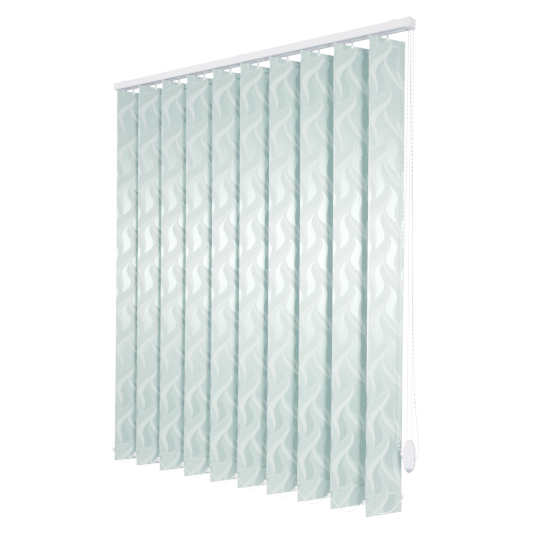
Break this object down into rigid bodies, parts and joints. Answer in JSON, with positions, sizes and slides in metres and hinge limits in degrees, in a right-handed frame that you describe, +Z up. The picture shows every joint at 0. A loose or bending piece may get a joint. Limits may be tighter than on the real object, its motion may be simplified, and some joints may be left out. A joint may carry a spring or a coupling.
{
  "type": "vertical blind",
  "caption": "Vertical blind: a slim headrail with sliding, turning fabric slats, bottom chains, and a bead chain and draw cord with a two-shell weight at one end.",
  "frame": {"origin": "middle of the headrail's length and depth, on the ceiling plane that the three clips' top faces touch", "axes": "+X along the rail to the control end, -Y to the room side, +Z up"},
  "size_m": [1.2275, 0.1298, 1.4077],
  "materials": {
    "rail_white": "satin white powder coat",
    "cap_white": "moulded white plastic",
    "clip_steel": "white painted spring steel",
    "carrier_plastic": "moulded off-white plastic",
    "hook_plastic": "moulded white plastic",
    "slat_fabric": "pale sea green woven polyester with a tone-on-tone weave",
    "insert_plastic": "moulded white plastic",
    "rod_metal": "drawn aluminium",
    "drive_plastic": "moulded pale grey plastic",
    "chain_white": "white ball chain",
    "cord_white": "braided white polyester cord",
    "weight_lavender": "pale lavender moulded plastic",
    "weight_clear": "translucent moulded plastic"
  },
  "bodies": {
    "rail": {"headrail": "rail_white", "control_housing": "carrier_plastic", "control_cover": "cap_white", "idler_housing": "cap_white", "ceiling_clips": "clip_steel", "carrier_10": "carrier_plastic", "rail_cord": "cord_white", "draw_cord": "cord_white", "control_chain": "chain_white", "chain_connector": "hook_plastic", "weight_shell_front": "weight_lavender", "weight_shell_rear": "weight_clear"},
    "carrier_body_01": {"carrier_01": "carrier_plastic"},
    "carrier_body_02": {"carrier_02": "carrier_plastic"},
    "carrier_body_03": {"carrier_03": "carrier_plastic"},
    "carrier_body_04": {"carrier_04": "carrier_plastic"},
    "carrier_body_05": {"carrier_05": "carrier_plastic"},
    "carrier_body_06": {"carrier_06": "carrier_plastic"},
    "carrier_body_07": {"carrier_07": "carrier_plastic"},
    "carrier_body_08": {"carrier_08": "carrier_plastic"},
    "carrier_body_09": {"carrier_09": "carrier_plastic"},
    "vane_01": {"hook_01": "hook_plastic", "slat_01": "slat_fabric", "slat_insert_01": "insert_plastic"},
    "vane_02": {"hook_02": "hook_plastic", "slat_02": "slat_fabric", "slat_insert_02": "insert_plastic"},
    "vane_03": {"hook_03": "hook_plastic", "slat_03": "slat_fabric", "slat_insert_03": "insert_plastic"},
    "vane_04": {"hook_04": "hook_plastic", "slat_04": "slat_fabric", "slat_insert_04": "insert_plastic"},
    "vane_05": {"hook_05": "hook_plastic", "slat_05": "slat_fabric", "slat_insert_05": "insert_plastic"},
    "vane_06": {"hook_06": "hook_plastic", "slat_06": "slat_fabric", "slat_insert_06": "insert_plastic"},
    "vane_07": {"hook_07": "hook_plastic", "slat_07": "slat_fabric", "slat_insert_07": "insert_plastic"},
    "vane_08": {"hook_08": "hook_plastic", "slat_08": "slat_fabric", "slat_insert_08": "insert_plastic"},
    "vane_09": {"hook_09": "hook_plastic", "slat_09": "slat_fabric", "slat_insert_09": "insert_plastic"},
    "vane_10": {"hook_10": "hook_plastic", "slat_10": "slat_fabric", "slat_insert_10": "insert_plastic", "end_chain": "chain_white"},
    "front_chain_body": {"front_chain": "chain_white"},
    "rear_chain_body": {"rear_chain": "chain_white"},
    "tilt_drive": {"tilt_rod": "rod_metal", "chain_wheel": "drive_plastic"},
    "front_pulley": {"cord_pulley_front": "drive_plastic"},
    "rear_pulley": {"cord_pulley_rear": "drive_plastic"},
    "idler_pulley": {"return_pulley": "drive_plastic"},
    "tassel_pulley": {"weight_pulley": "drive_plastic"}
  },
  "joints": [
    {"name": "traverse_01", "type": "slide", "parent": "rail", "child": "carrier_body_01", "axis": [1, 0, 0], "range_m": [0, 0.729]},
    {"name": "traverse_02", "type": "slide", "parent": "rail", "child": "carrier_body_02", "axis": [1, 0, 0], "range_m": [0, 0.648]},
    {"name": "traverse_03", "type": "slide", "parent": "rail", "child": "carrier_body_03", "axis": [1, 0, 0], "range_m": [0, 0.567]},
    {"name": "traverse_04", "type": "slide", "parent": "rail", "child": "carrier_body_04", "axis": [1, 0, 0], "range_m": [0, 0.486]},
    {"name": "traverse_05", "type": "slide", "parent": "rail", "child": "carrier_body_05", "axis": [1, 0, 0], "range_m": [0, 0.405]},
    {"name": "traverse_06", "type": "slide", "parent": "rail", "child": "carrier_body_06", "axis": [1, 0, 0], "range_m": [0, 0.324]},
    {"name": "traverse_07", "type": "slide", "parent": "rail", "child": "carrier_body_07", "axis": [1, 0, 0], "range_m": [0, 0.243]},
    {"name": "traverse_08", "type": "slide", "parent": "rail", "child": "carrier_body_08", "axis": [1, 0, 0], "range_m": [0, 0.162]},
    {"name": "traverse_09", "type": "slide", "parent": "rail", "child": "carrier_body_09", "axis": [1, 0, 0], "range_m": [0, 0.081]},
    {"name": "tilt_01", "type": "hinge", "parent": "carrier_body_01", "child": "vane_01", "pos_m": [-0.514, 0, -0.0427], "axis": [0, 0, 1], "range_deg": [-54, 108]},
    {"name": "tilt_02", "type": "hinge", "parent": "carrier_body_02", "child": "vane_02", "pos_m": [-0.399, 0, -0.0427], "axis": [0, 0, 1], "range_deg": [-54, 108]},
    {"name": "tilt_03", "type": "hinge", "parent": "carrier_body_03", "child": "vane_03", "pos_m": [-0.284, 0, -0.0427], "axis": [0, 0, 1], "range_deg": [-54, 108]},
    {"name": "tilt_04", "type": "hinge", "parent": "carrier_body_04", "child": "vane_04", "pos_m": [-0.169, 0, -0.0427], "axis": [0, 0, 1], "range_deg": [-54, 108]},
    {"name": "tilt_05", "type": "hinge", "parent": "carrier_body_05", "child": "vane_05", "pos_m": [-0.054, 0, -0.0427], "axis": [0, 0, 1], "range_deg": [-54, 108]},
    {"name": "tilt_06", "type": "hinge", "parent": "carrier_body_06", "child": "vane_06", "pos_m": [0.061, 0, -0.0427], "axis": [0, 0, 1], "range_deg": [-54, 108]},
    {"name": "tilt_07", "type": "hinge", "parent": "carrier_body_07", "child": "vane_07", "pos_m": [0.176, 0, -0.0427], "axis": [0, 0, 1], "range_deg": [-54, 108]},
    {"name": "tilt_08", "type": "hinge", "parent": "carrier_body_08", "child": "vane_08", "pos_m": [0.291, 0, -0.0427], "axis": [0, 0, 1], "range_deg": [-54, 108]},
    {"name": "tilt_09", "type": "hinge", "parent": "carrier_body_09", "child": "vane_09", "pos_m": [0.406, 0, -0.0427], "axis": [0, 0, 1], "range_deg": [-54, 108]},
    {"name": "tilt_10", "type": "hinge", "parent": "rail", "child": "vane_10", "pos_m": [0.521, 0, -0.0427], "axis": [0, 0, 1], "range_deg": [-54, 108]},
    {"name": "front_chain_turn", "type": "hinge", "parent": "vane_10", "child": "front_chain_body", "pos_m": [0.48904, -0.06273, -1.3657], "axis": [0, 0, 1], "range_deg": [-108, 54], "deforming": ["front_chain"]},
    {"name": "rear_chain_turn", "type": "hinge", "parent": "vane_10", "child": "rear_chain_body", "pos_m": [0.55296, 0.06273, -1.3657], "axis": [0, 0, 1], "range_deg": [-108, 54], "deforming": ["rear_chain"]},
    {"name": "rod_turn", "type": "hinge", "parent": "rail", "child": "tilt_drive", "pos_m": [0, -0.009, -0.0136], "axis": [1, 0, 0], "range_deg": [-432, 864]},
    {"name": "front_pulley_turn", "type": "hinge", "parent": "rail", "child": "front_pulley", "pos_m": [0.584, 0.0055, -0.0155], "axis": [0, 1, 0], "range_deg": [0, 6966]},
    {"name": "rear_pulley_turn", "type": "hinge", "parent": "rail", "child": "rear_pulley", "pos_m": [0.5895, 0.011, -0.0155], "axis": [0, 1, 0], "range_deg": [-6966, 0]},
    {"name": "idler_pulley_turn", "type": "hinge", "parent": "rail", "child": "idler_pulley", "pos_m": [-0.574, 0.012, -0.0095], "axis": [0, 0, 1], "range_deg": [0, 10447]},
    {"name": "tassel_pulley_turn", "type": "hinge", "parent": "rail", "child": "tassel_pulley", "pos_m": [0.5975, 0.0015, -1.203], "axis": [0, 1, 0], "range_deg": [-5972, 0]}
  ],
  "couplings": [
    {"joint": "traverse_02", "follows": "traverse_01", "ratio": 0.88889},
    {"joint": "traverse_03", "follows": "traverse_01", "ratio": 0.77778},
    {"joint": "traverse_04", "follows": "traverse_01", "ratio": 0.66667},
    {"joint": "traverse_05", "follows": "traverse_01", "ratio": 0.55556},
    {"joint": "traverse_06", "follows": "traverse_01", "ratio": 0.44444},
    {"joint": "traverse_07", "follows": "traverse_01", "ratio": 0.33333},
    {"joint": "traverse_08", "follows": "traverse_01", "ratio": 0.22222},
    {"joint": "traverse_09", "follows": "traverse_01", "ratio": 0.11111},
    {"joint": "tilt_01", "follows": "tilt_10", "ratio": 1},
    {"joint": "tilt_02", "follows": "tilt_10", "ratio": 1},
    {"joint": "tilt_03", "follows": "tilt_10", "ratio": 1},
    {"joint": "tilt_04", "follows": "tilt_10", "ratio": 1},
    {"joint": "tilt_05", "follows": "tilt_10", "ratio": 1},
    {"joint": "tilt_06", "follows": "tilt_10", "ratio": 1},
    {"joint": "tilt_07", "follows": "tilt_10", "ratio": 1},
    {"joint": "tilt_08", "follows": "tilt_10", "ratio": 1},
    {"joint": "tilt_09", "follows": "tilt_10", "ratio": 1},
    {"joint": "front_chain_turn", "follows": "tilt_10", "ratio": -1},
    {"joint": "rear_chain_turn", "follows": "tilt_10", "ratio": -1},
    {"joint": "rod_turn", "follows": "tilt_10", "ratio": 8},
    {"joint": "front_pulley_turn", "follows": "traverse_01", "rad_per_m": 166.67},
    {"joint": "rear_pulley_turn", "follows": "traverse_01", "rad_per_m": -166.67},
    {"joint": "idler_pulley_turn", "follows": "traverse_01", "rad_per_m": 250},
    {"joint": "tassel_pulley_turn", "follows": "traverse_01", "rad_per_m": -142.86}
  ]
}
